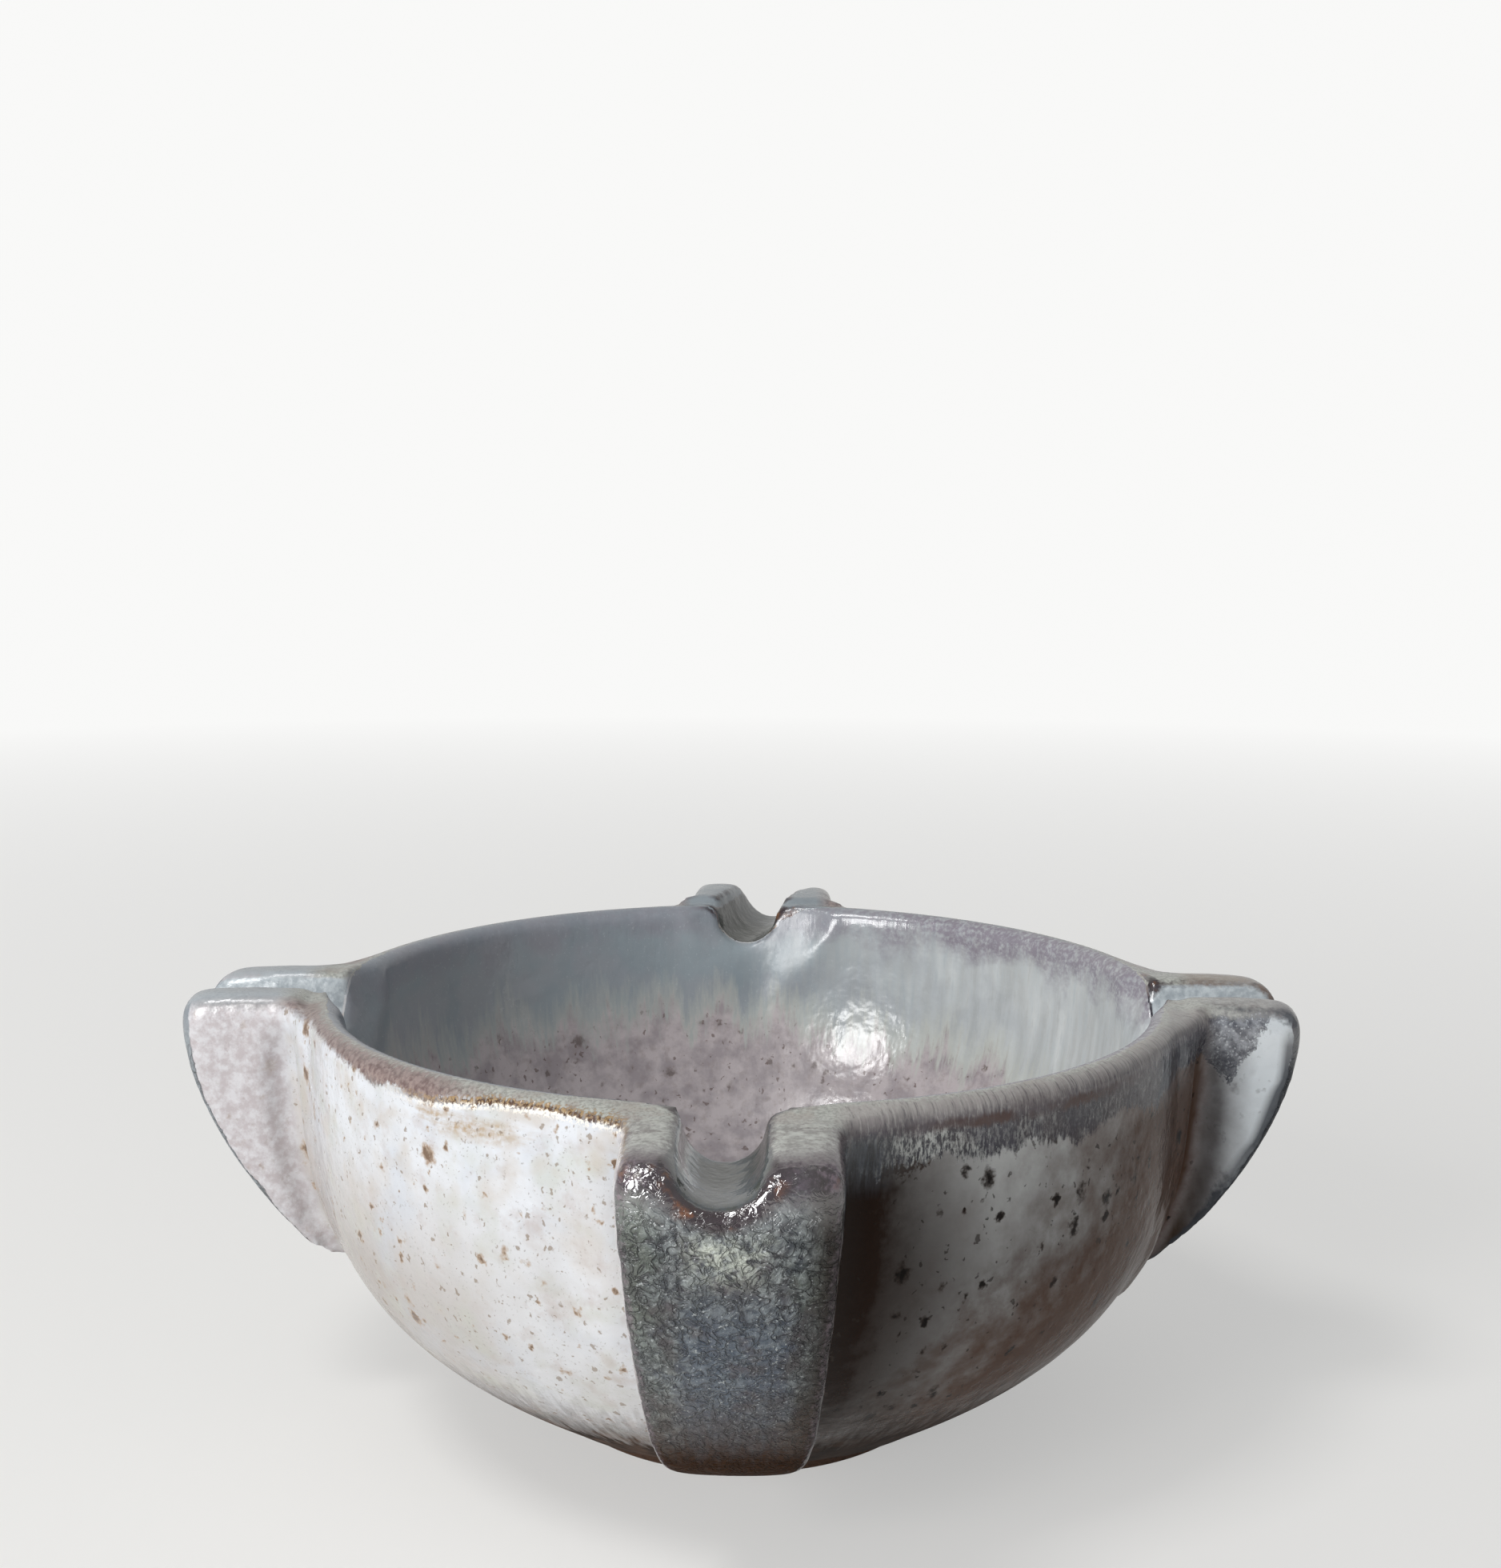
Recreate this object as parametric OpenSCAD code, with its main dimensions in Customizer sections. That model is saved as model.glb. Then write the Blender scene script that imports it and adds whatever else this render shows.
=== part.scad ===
// Glazed stoneware bowl with four notched lugs, on a turned foot ring.
// The bowl is thrown and its foot turned; the lugs are made apart, scooped, notched and luted on.
// Origin: centre of the foot on the table. +Z up. The front lug lies towards -Y.

/* [Bowl] */
// Height of the rim above the table
bowl_h = 70; // [60:1:85]
// Outside diameter of the rim
rim_d = 142; // [128:1:156]
// Thickness of the wall at the rim
wall_t = 5.5; // [4.6:0.1:7]
// Radius that rounds each edge of the lip
lip_r = 2.3; // [1.2:0.1:2.3]
// Thickness of the floor at its middle
floor_t = 6.5; // [5:0.5:9]
// Diameter of the flat underside that the belly runs down to
belly_d = 74; // [68:1:80]
// How long the wall stays upright before the belly turns in
belly_fullness = 3.9; // [3.2:0.1:4.4]
// How softly the belly runs into the underside
belly_ease = 1.16; // [1:0.02:1.3]
// How square the hollow is where the wall turns into the floor
hollow_fullness = 3; // [2.6:0.1:4]

/* [Foot ring] */
// Outside diameter of the foot ring at its top
foot_d = 66; // [58:1:68]
// Height of the foot ring
foot_h = 4; // [3:0.5:6]
// Width of the ring's standing face
foot_w = 6; // [4:0.5:9]
// How far the ring's outer side leans in towards the table
foot_lean = 1.5; // [0.5:0.1:2.5]

/* [Lugs] */
// Distance from the axis to the outer face of each lug
lug_reach = 89.9; // [84:0.1:98]
// Step from the rim down to the top of the lugs
lug_step = 0.6; // [0.4:0.1:1]
// Width of a lug at its top
lug_top_w = 29; // [25:0.5:32]
// Width of a lug at its lower end
lug_end_w = 19.5; // [16:0.5:22]
// Height of the front lug's lower end above the table
front_end_h = 16; // [13:1:22]
// Distance from the axis to the front lug's outer face at its lower end
front_end_reach = 65; // [62:1:70]
// Height of the right lug's lower end above the table
right_end_h = 22; // [18:1:27]
// Distance from the axis to the right lug's outer face at its lower end
right_end_reach = 63; // [61:1:72]
// Height of the lower end of the back and left lugs above the table
side_end_h = 24; // [19:1:28]
// Distance from the axis to the outer face of those two lugs at their lower end
side_end_reach = 68; // [64:1:73]
// Radius of the two upright edges of the outer face
lug_corner_r = 2.4; // [1.5:0.1:4]
// How far the outer face rises between its upright edges
lug_crown = 0.9; // [0.6:0.1:2.4]
// Rounding of the top edges along the sides
ear_round = 2; // [1:0.1:2.5]
// Rounding of the top edge at the tip
tip_round = 4.4; // [2:0.1:5]
// Rounding of the lower end
end_round = 4; // [1.5:0.1:5]
// Radius of the scoop where each side runs into the wall
scoop_r = 3.4; // [2.6:0.1:5]
// Distance of the scoop's middle from the wall
scoop_reach = 2.7; // [2.2:0.1:4]
// How deep the scoop cuts into the side
scoop_depth = 2.4; // [0.8:0.1:2.6]
// How far below the top the scoop reaches that depth
scoop_run = 11; // [8:0.5:16]

/* [Notches] */
// Width of a notch between its rolled edges
notch_w = 13; // [10:0.5:14]
// Radius of the notch's floor
notch_r = 5.4; // [4.4:0.1:5.6]
// Depth of the notch at the tip of the lug, below the rim
notch_tip_depth = 6.5; // [5:0.1:8]
// Depth of the notch at the inner side of the wall, below the rim
notch_wall_depth = 8; // [6:0.1:10]
// Radius of the rolled edges along the notch
notch_roll = 2; // [1:0.1:2.4]
// How far the front notch was pressed off its lug's middle
front_notch_shift = -1.2; // [-2.5:0.1:2.5]
// How far the back notch was pressed off its lug's middle, at the wall
back_notch_shift = 2.1; // [-2.5:0.1:2.5]
// Angle at which the back notch crosses its lug
back_notch_skew = -13; // [-15:1:15]
// Radius in plan of the sweep that opens the lip towards each notch
mouth_r = 26; // [22:1:32]
// How deep that sweep cuts into the lip
mouth_depth = 3.6; // [2:0.1:4.2]
// How far down the wall the sweep fades out
mouth_run = 13; // [8:1:18]
// Radius of the shallow groove inside the wall below each notch
groove_r = 9; // [6:0.5:12]
// Depth of that groove at the rim
groove_depth = 1.5; // [1:0.1:2.6]
// Length of that groove down the wall
groove_run = 30; // [20:1:34]

/* [Hidden] */

rim_r = rim_d / 2;
belly_r = belly_d / 2;
hollow_r = rim_r - wall_t;                 // inner radius at the rim
belly_drop = bowl_h - foot_h;              // rim down to the flat underside
hollow_depth = belly_drop - floor_t;       // rim down to the middle of the floor
lug_top = bowl_h - lug_step;
past = 2;                                  // how far cutting shapes run past the clay
profile_steps = 22;                        // straight stretches along the belly and the hollow
arc_steps = 5;                             // straight stretches along each small rounding
lug_levels = 12;                           // levels between the roundings of a lug
lug_swell = 0.8;                           // how early a lug widens on its way up
lug_sweep = 2;                             // how late its outer face turns in on its way down
lug_root = 6;                              // how far a lug's blank reaches into the wall
scoop_turn = 50;                           // degrees that the scoop turns towards the wall
scoop_side = scoop_reach + sqrt(scoop_depth * (2 * scoop_r - scoop_depth)); // wall to the scoop's far edge
scoop_least = 0.15;                        // share of its size to which the scoop shrinks at a lower end
end_thick = 2;                             // least thickness of a lug's lower end
face_turns = [0.35, 0.7];                  // places across the outer face, as shares of its half width
foot_ease = foot_w / 8;                    // width of the eased edges of the foot ring
notch_inner = hollow_r - mouth_r / 2;      // where the stick that pressed a notch starts, inside the bowl
roll_lift = 0.15;                          // how far the rolled edges start above the rim

// Outer radius of the bowl at depth s below the rim.
function belly(s) =
    belly_r + (rim_r - belly_r)
    * pow(1 - pow(min(max(s, 0) / belly_drop, 1), belly_fullness), belly_ease);

// Points of a rounding from angle a to angle b about [x, y].
function arc(x, y, r, a, b) = [
    for (i = [0:arc_steps])
    let (t = a + (b - a) * i / arc_steps)
    [x + r * cos(t), y + r * sin(t)]
];

// The thrown form, solid: lip, upright wall and belly down to the flat underside.
module bowl_form() {
    side = [
        for (i = [profile_steps:-1:0])
        let (s = lip_r + (belly_drop - lip_r) * sin(90 * i / profile_steps))
        [belly(s), bowl_h - s]
    ];
    lip = arc(belly(lip_r) - lip_r, bowl_h - lip_r, lip_r, 0, 90);
    rotate_extrude($fn = 96)
        polygon(concat([[0, foot_h]], side, [for (i = [1:arc_steps]) lip[i]], [[0, bowl_h]]));
}

// The hollow: an upright wall that curves into a flat floor, opening over the lip's inner edge.
module bowl_hollow() {
    turn = asin(pow(lip_r / hollow_depth, hollow_fullness / 2));
    side = [
        for (i = [0:profile_steps])
        let (
            t = 90 + (turn - 90) * i / profile_steps,
            s = hollow_depth * pow(sin(t), 2 / hollow_fullness)
        )
        [hollow_r * cos(t), bowl_h - s]
    ];
    lip = arc(hollow_r * cos(turn) + lip_r, bowl_h - lip_r, lip_r, 180, 90);
    rotate_extrude($fn = 96)
        polygon(concat(
            side,
            [for (i = [1:arc_steps]) lip[i]],
            [[hollow_r + lip_r, bowl_h + past], [0, bowl_h + past]]
        ));
}

// Across a notch: a round floor whose sides lean out to the notch's width at the rim.
module notch_section(depth) {
    side_lean = asin((notch_w / 2 - notch_r) / depth);
    floor_arc = arc(0, notch_r, notch_r, 180 + side_lean, 270);
    half = concat([[-notch_w / 2 - past * tan(side_lean), depth + past]], floor_arc);
    polygon(concat(half, [for (i = [len(half) - 2:-1:0]) [-half[i][0], half[i][1]]]));
}

// The trough of one notch along +X, rising outwards from the wall to the tip of the lug.
module notch_trough() {
    run = lug_reach + past - notch_inner;
    rise = atan((notch_wall_depth - notch_tip_depth) / (lug_reach - hollow_r));
    floor_at_inner = bowl_h - notch_wall_depth - (hollow_r - notch_inner) * tan(rise);
    translate([notch_inner, 0, floor_at_inner])
        rotate([0, -rise, 0])
        rotate([90, 0, 90])
        linear_extrude(height = run / cos(rise))
        notch_section((notch_wall_depth + notch_tip_depth) / 2);
}

// The rolled edges along one notch, level with the rim.
module notch_rolls() {
    roll_top = bowl_h + roll_lift;
    side = arc(-notch_w / 2 - notch_roll, roll_top - notch_roll, notch_roll, 0, 90);
    half = concat(side, [[-notch_w / 2 - notch_roll, bowl_h + past]]);
    translate([notch_inner, 0, 0])
        rotate([90, 0, 90])
        linear_extrude(height = lug_reach + past - notch_inner)
        polygon(concat(half, [for (i = [len(half) - 1:-1:0]) [-half[i][0], half[i][1]]]));
}

// One notch, facing the given way, shifted and skewed about the place where it crosses the rim.
module notch(turn, shift, skew) {
    rotate([0, 0, turn])
    translate([rim_r, shift, 0])
    rotate([0, 0, skew])
    translate([-rim_r, 0, 0]) {
        notch_trough();
        notch_rolls();
    }
}

module notch_front() {
    notch(-90, front_notch_shift, 0);
}

module notch_right() {
    notch(0, 0, 0);
}

module notch_back() {
    notch(90, back_notch_shift, back_notch_skew);
}

module notch_left() {
    notch(180, 0, 0);
}

// Opens the inner edge of the lip towards one notch, and fades out down the wall.
module lip_mouth() {
    side = [
        for (i = [arc_steps:-1:0])
        let (u = i / arc_steps)
        [mouth_r - mouth_depth * u * u, -mouth_run * u]
    ];
    translate([hollow_r + mouth_depth - mouth_r, 0, bowl_h])
        rotate_extrude($fn = 64)
        polygon(concat([[0, -mouth_run]], side, [[mouth_r, past], [0, past]]));
}

// A groove that starts behind one notch and fades out down the wall.
module wall_groove() {
    fade = groove_depth + hollow_r * (1 - sqrt(1 - pow(groove_run / hollow_depth, hollow_fullness)));
    sweep_r = (groove_run * groove_run + fade * fade) / (2 * fade);
    start = asin(past / sweep_r);
    finish = asin(groove_run / sweep_r);
    translate([hollow_r + groove_depth - sweep_r, 0, bowl_h])
        rotate([90, 0, 0])
        rotate([0, 0, -finish])
        rotate_extrude(angle = start + finish, $fn = 96)
        translate([sweep_r - groove_r, 0])
        circle(r = groove_r, $fn = 48);
}

module bowl() {
    color("lightgray")
    difference() {
        bowl_form();
        bowl_hollow();
        notch_front();
        notch_right();
        notch_back();
        notch_left();
        for (turn = [0:90:270]) {
            rotate([0, 0, turn]) {
                lip_mouth();
                wall_groove();
            }
        }
    }
}

// The turned ring that the bowl stands on, with its edges eased.
module foot_ring() {
    outer = foot_d / 2;
    stand = outer - foot_lean;
    color("saddlebrown")
    rotate_extrude($fn = 96)
    polygon([
        [stand - foot_w + foot_ease, 0],
        [stand - foot_ease, 0],
        [stand, foot_ease],
        [outer, foot_h],
        [stand - foot_w - foot_lean, foot_h],
        [stand - foot_w, foot_ease]
    ]);
}

// How far a lug's sides and tip are drawn in, and the height of that, at each level.
// Each entry: [height, inset of the sides, inset of the tip].
function lug_rings(end_h) = concat(
    [
        for (i = [0:arc_steps - 1])
        let (t = 90 * i / arc_steps, inset = end_round * (1 - sin(t)))
        [end_h + end_round * (1 - cos(t)), inset, inset]
    ],
    [
        for (i = [0:lug_levels])
        [end_h + end_round + (lug_top - tip_round - end_h - end_round) * i / lug_levels, 0, 0]
    ],
    [
        for (i = [1:arc_steps])
        let (t = 90 * i / arc_steps)
        [
            lug_top - tip_round * (1 - sin(t)),
            ear_round * (1 - cos(t)),
            tip_round * (1 - cos(t))
        ]
    ]
);

// Half of a level section through a lug: root, scoop, side, upright edge, outer face.
// w is its half width, tip its reach, root the wall's radius there and scoop the share of its depth.
function lug_half(w, tip, root, scoop) =
    let (
        corner_x = tip - lug_crown - lug_corner_r,
        fit = min(max((corner_x - root) / scoop_side, scoop_least), 1),
        wall_x = min(root, corner_x - fit * scoop_side),
        rise = scoop_r - scoop * scoop_depth,
        full = arc(scoop_reach, rise, scoop_r, 270 - scoop_turn, 270 + acos(rise / scoop_r)),
        hollow = [for (p = full) [wall_x + fit * p[0], w + fit * p[1]]],
        run_in = hollow[0][0] - root + lug_root,
        corner = arc(corner_x, w - lug_corner_r, lug_corner_r, 90, 0),
        face_w = w - lug_corner_r,
        face = [
            for (i = [len(face_turns) - 1:-1:0])
            let (u = face_turns[i])
            [tip - lug_crown * u * u, face_w * u]
        ]
    )
    concat([[root - lug_root, hollow[0][1] + run_in * tan(scoop_turn)]], hollow, corner, face);

// A whole level section, as a ring of points at height z.
function lug_section(z, w, tip, root, scoop) =
    let (half = lug_half(w, tip, root, scoop))
    concat(
        [for (p = half) [p[0], p[1], z]],
        [[tip, 0, z]],
        [for (i = [len(half) - 1:-1:0]) [half[i][0], -half[i][1], z]]
    );

// A lug's blank, facing the given way: level sections skinned from its lower end to its top.
module lug_blank(turn, end_h, end_reach) {
    rings = lug_rings(end_h);
    sections = [
        for (ring = rings)
        let (
            up = (ring[0] - end_h) / (lug_top - end_h),
            w = lug_end_w / 2 + (lug_top_w - lug_end_w) / 2 * pow(up, lug_swell),
            reach = lug_reach - (lug_reach - end_reach) * pow(1 - up, lug_sweep),
            root = belly(bowl_h - ring[0]),
            scoop = min((lug_top - ring[0]) / scoop_run, 1)
        )
        lug_section(ring[0], w - ring[1], max(reach - ring[2], root + end_thick), root, scoop)
    ];
    count = len(sections[0]);
    last = (len(sections) - 1) * count;
    points = [for (section = sections, p = section) p];
    skin = [
        for (level = [0:len(sections) - 2], i = [0:count - 1])
        let (
            j = (i + 1) % count,
            a = level * count + i,
            b = level * count + j
        )
        each [[a, b, b + count], [a, b + count, a + count]]
    ];
    // The ends are strips that run straight across, from one side to the other.
    strips = [for (i = [0:(count - 1) / 2 - 1]) [i, i + 1, count - 2 - i, count - 1 - i]];
    bottom = [for (strip = strips) [for (i = [3:-1:0]) strip[i]]];
    top = [for (strip = strips) [for (i = strip) last + i]];
    rotate([0, 0, turn])
        polyhedron(points = points, faces = concat(bottom, skin, top), convexity = 6);
}

// The lugs as luted on: the back of each takes the bowl's own form, and its notch is the bowl's.
module lug_front() {
    color("slategray")
    difference() {
        lug_blank(-90, front_end_h, front_end_reach);
        bowl_form();
        notch_front();
    }
}

module lug_right() {
    color("slategray")
    difference() {
        lug_blank(0, right_end_h, right_end_reach);
        bowl_form();
        notch_right();
    }
}

module lug_back() {
    color("slategray")
    difference() {
        lug_blank(90, side_end_h, side_end_reach);
        bowl_form();
        notch_back();
    }
}

module lug_left() {
    color("slategray")
    difference() {
        lug_blank(180, side_end_h, side_end_reach);
        bowl_form();
        notch_left();
    }
}

bowl();
foot_ring();
lug_front();
lug_right();
lug_back();
lug_left();
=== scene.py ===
"""Glazed stoneware bowl with four notched lugs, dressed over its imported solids."""

import math

import bpy
import numpy as np
from mathutils import Matrix, Vector


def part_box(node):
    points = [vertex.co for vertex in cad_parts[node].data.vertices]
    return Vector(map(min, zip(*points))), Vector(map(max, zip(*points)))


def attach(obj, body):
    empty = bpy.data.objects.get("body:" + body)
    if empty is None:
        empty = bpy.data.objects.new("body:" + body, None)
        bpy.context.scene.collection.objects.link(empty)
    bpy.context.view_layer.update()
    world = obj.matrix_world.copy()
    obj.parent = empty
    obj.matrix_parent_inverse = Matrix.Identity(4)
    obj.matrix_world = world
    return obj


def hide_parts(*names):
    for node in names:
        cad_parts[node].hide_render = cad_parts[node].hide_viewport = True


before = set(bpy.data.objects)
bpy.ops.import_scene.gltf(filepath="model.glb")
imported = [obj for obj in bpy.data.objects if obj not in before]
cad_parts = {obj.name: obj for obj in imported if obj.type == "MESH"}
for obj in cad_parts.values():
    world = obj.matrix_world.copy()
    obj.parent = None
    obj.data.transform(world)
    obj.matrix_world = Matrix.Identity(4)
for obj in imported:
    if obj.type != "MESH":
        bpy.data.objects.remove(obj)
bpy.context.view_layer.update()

# ---------------------------------------------------------------------------------------------
# The camera: a hand-held view from just above the rim, close in front of the front lug.
# It looks a little down and stands a touch to the right of the bowl's axis.
# ---------------------------------------------------------------------------------------------
MM = 0.001
eye = Vector((6.8, -311.8, 144.3)) * MM
look_down, look_left, tilt = math.radians(7.47), math.radians(1.13), math.radians(0.22)
camera = bpy.data.objects.new("camera", bpy.data.cameras.new("camera"))
camera.data.lens = 44.16
camera.data.clip_start = 10 * MM
camera.location = eye
camera.rotation_euler = (
    Matrix.Rotation(look_left, 3, "Z")
    @ Matrix.Rotation(math.pi / 2 - look_down, 3, "X")
    @ Matrix.Rotation(tilt, 3, "Z")
).to_euler()
bpy.context.scene.collection.objects.link(camera)
bpy.context.scene.camera = camera

# ---------------------------------------------------------------------------------------------
# The bowl: thrown on the wheel in buff stoneware, with an upright wall and a round belly.
# Its section is extruded point by point from the middle of the underside and spun round.
# ---------------------------------------------------------------------------------------------
rim_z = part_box("bowl")[1].z
under_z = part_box("bowl")[0].z
rim_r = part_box("bowl")[1].x
belly_r = 37 * MM
belly_upright, belly_round = 3.9, 1.16
hollow_upright = 3
wall = 5.5 * MM
floor_t = 6.5 * MM
lip_r = 2.3 * MM
belly_drop = rim_z - under_z
hollow_drop = belly_drop - floor_t


def belly(depth):
    """Outer radius of the bowl at one depth below the rim, or at many."""
    share = np.minimum(np.maximum(depth, 0) / belly_drop, 1)
    return belly_r + (rim_r - belly_r) * (1 - share**belly_upright) ** belly_round


def hollow(depth):
    """Inner radius of the bowl at one depth below the rim, or at many."""
    return (rim_r - wall) * np.sqrt(np.maximum(1 - (depth / hollow_drop) ** hollow_upright, 0))


def spin_section(name, section, steps=160):
    """Extrudes a vertex along a section in the XZ plane, and spins it round the Z axis."""
    bpy.ops.object.select_all(action="DESELECT")
    bpy.ops.mesh.primitive_plane_add(size=MM, location=(0, 0, 0))
    obj = bpy.context.object
    obj.name = name
    bpy.ops.object.mode_set(mode="EDIT")
    bpy.ops.mesh.select_all(action="SELECT")
    bpy.ops.mesh.merge(type="CENTER")
    bpy.ops.transform.translate(value=(section[0][0], 0, section[0][1]))
    for here, there in zip(section, section[1:]):
        step = (there[0] - here[0], 0, there[1] - here[1])
        bpy.ops.mesh.extrude_region_move(TRANSFORM_OT_translate={"value": step})
    bpy.ops.mesh.select_all(action="SELECT")
    bpy.ops.mesh.spin(steps=steps, angle=math.tau, center=(0, 0, 0), axis=(0, 0, 1))
    bpy.ops.mesh.select_all(action="SELECT")
    bpy.ops.mesh.remove_doubles(threshold=0.01 * MM)
    bpy.ops.mesh.normals_make_consistent(inside=False)
    bpy.ops.object.mode_set(mode="OBJECT")
    return obj


def outside_section(inset=0.0):
    """From the middle of the underside up the outside; an inset draws the outside in."""
    points = [(0, under_z), (belly_r / 2, under_z)]
    for i in range(20, -1, -1):
        depth = lip_r + (belly_drop - lip_r) * math.sin(math.radians(4.5 * i))
        points.append((belly(depth) - inset, rim_z - depth))
    return points


def bowl_section():
    """Up the outside, over the lip and down the hollow."""
    points = outside_section()
    lip_z = rim_z - lip_r
    for middle, first in ((rim_r - lip_r, 1), (rim_r - wall + lip_r, 4)):
        for i in range(first, first + 4):
            turn = math.radians(22.5 * i)
            points.append((middle + lip_r * math.cos(turn), lip_z + lip_r * math.sin(turn)))
    for i in range(0, 19):
        turn = math.radians(5 * i)
        depth = hollow_drop * math.sin(turn) ** (2 / 3)
        if depth > lip_r:
            points.append((hollow(depth), rim_z - depth))
    points.append((0, rim_z - hollow_drop))
    return points


clay = spin_section("clay", bowl_section())

# ---------------------------------------------------------------------------------------------
# The foot ring: turned from the leather-hard base, and left unglazed where the bowl stands.
# Bare iron-rich stoneware, fired to a dark matt brown, with the turning tool's fine rings in it.
# ---------------------------------------------------------------------------------------------
foot_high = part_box("foot_ring")[1]
foot_r = foot_high.x
foot_w = 6 * MM
foot_lean = 1.5 * MM
foot_ease = 0.9 * MM


def foot_section():
    """Round the ring's section: its inner side, standing face, outer side and top."""
    inner, outer = foot_r - foot_lean - foot_w, foot_r - foot_lean
    points = [(inner - foot_lean, foot_high.z), (inner - foot_lean / 3, foot_high.z / 3)]
    for i in range(5):
        turn = math.radians(180 + 22.5 * i)
        points.append((inner + foot_ease * (1 + math.cos(turn)), foot_ease * (1 + math.sin(turn))))
    for i in range(5):
        turn = math.radians(270 + 22.5 * i)
        points.append((outer - foot_ease * (1 - math.cos(turn)), foot_ease * (1 + math.sin(turn))))
    points += [(outer + foot_lean / 3, foot_high.z / 3), (foot_r, foot_high.z)]
    return points + points[:1]


def colour(code):
    """An sRGB hex colour as linear values."""
    parts = [int(code[i:i + 2], 16) / 255 for i in (1, 3, 5)]
    return tuple(p / 12.92 if p <= 0.04045 else ((p + 0.055) / 1.055) ** 2.4 for p in parts) + (1,)


def add(tree, kind, inputs, **settings):
    """Adds a node with its settings, and fills or links its inputs, by name or in their order."""
    node = tree.nodes.new("ShaderNode" + kind)
    for key, value in settings.items():
        setattr(node, key, value)
    plugs = [plug for plug in node.inputs if plug.enabled]
    if isinstance(inputs, dict):
        plugs = [next(plug for plug in plugs if plug.name == name) for name in inputs]
        inputs = inputs.values()
    for plug, value in zip(plugs, inputs):
        if isinstance(value, bpy.types.NodeSocket):
            tree.links.new(value, plug)
        else:
            plug.default_value = colour(value) if isinstance(value, str) else value
    return next(plug for plug in node.outputs if plug.enabled)


def tinted(tree, ground, *layers):
    """Lays tints over a ground colour, one after another.

    A layer is its tint, its greatest weight, and readings that limit where it lies: each reading
    with the value at which the tint starts, the value at which it is full, and any least weight.
    """
    for tint, weight, *limits in layers:
        for reading, start, full, *least in limits:
            weight = add(tree, "MapRange", [reading, start, full, *(least or [0]), weight])
        ground = add(tree, "Mix", [weight, ground, tint], data_type="RGBA")
    return ground


foot = spin_section("foot_ring_turned", foot_section())

# Bare fired clay is dark and quite dull, so it reads as a line of shadow below the glaze.
# Its grog is 0.2 to 0.5 mm across, too fine to show, so it is drawn at 0.7 mm.
bare = bpy.data.materials.new("bare_stoneware_clay")
bare.use_nodes = True
tree = bare.node_tree
clay_body = tree.nodes["Principled BSDF"]
metres = add(tree, "TexCoord", []).node.outputs["Object"]
place = add(tree, "VectorMath", [metres, 1 / MM], operation="SCALE")
flat = add(tree, "VectorMath", [place, (1, 1, 0)], operation="MULTIPLY")
reach = add(tree, "VectorMath", [flat], operation="LENGTH")
rings = add(tree, "TexNoise", [add(tree, "CombineXYZ", [reach]), 1 / 0.5, 2])
grog = add(tree, "TexNoise", [place, 1 / 0.7, 4, 0.7])
stain = add(tree, "TexNoise", [place, 1 / 9, 3])
fired = tinted(tree, "#3a281e", ("#6b4c37", stain), ("#2a1d17", 1, (grog, 0.5, 0.75)))
tree.links.new(fired, clay_body.inputs["Base Color"])
clay_body.inputs["Roughness"].default_value = 0.85
tooled = add(tree, "Math", [rings, grog], operation="ADD")
bump = add(tree, "Bump", {"Distance": 0.3 * MM, "Height": tooled})
tree.links.new(bump, clay_body.inputs["Normal"])
foot.data.materials.clear()
foot.data.materials.append(bare)
bpy.ops.object.shade_smooth()
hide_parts("foot_ring")
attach(foot, "root")

# ---------------------------------------------------------------------------------------------
# The lugs: four lumps of the same clay, pressed to shape, scooped at the sides and luted on.
# Each is a plan outline extruded down level by level, narrower and drawn in towards its lower end.
# They are made by eye, so each has its own reach, lower end and ears.
# ---------------------------------------------------------------------------------------------
lug_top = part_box("lug_front")[1].z
top_round, end_round = 4.4 * MM, 4 * MM
corner_r = 1.8 * MM
face_crown, face_peak = 0.6 * MM, 0.3 * MM

# Half of a lug's width at its lower end, and how much more it is at its top, in millimetres.
end_half, half_gain = 9.9, 4.9

# A cove runs into the wall in steps: how far back each goes, in coves, and how much it widens.
cove_share = 0.2
root_flare = ((0.45, 1.05), (0.45, 1.12), (0.35, 1.16), (1.8, 1.45))

# The tool that scoops the sides swells as it enters, and runs out below the lug.
scoop_r, scoop_entry, scoop_run_out = 1.2 * MM, (1.7, 1.35, 1.2), 6 * MM
scoop_off_wall, scoop_off_side = 2.7 * MM, 0.9 * MM
scoop_from = (0.6 * MM, 0.8 * MM, 2 * MM)

# Turns and a notch's skew are in degrees, and all else is in millimetres.
lugs = {
    "lug_front": dict(turn=-90, reach=90, end=65, lift=0, ears=(0, 0), notch=(-1.2, 0)),
    "lug_right": dict(turn=0, reach=89, end=63, lift=0, ears=(0.9, 0.3), notch=(0, 0)),
    "lug_back": dict(turn=88.8, reach=90, end=68, lift=0, ears=(1.4, 1.8), notch=(2.1, -13)),
    "lug_left": dict(turn=180, reach=90.8, end=68, lift=0.5, ears=(0.4, 1.4), notch=(0, 0)),
}


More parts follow.
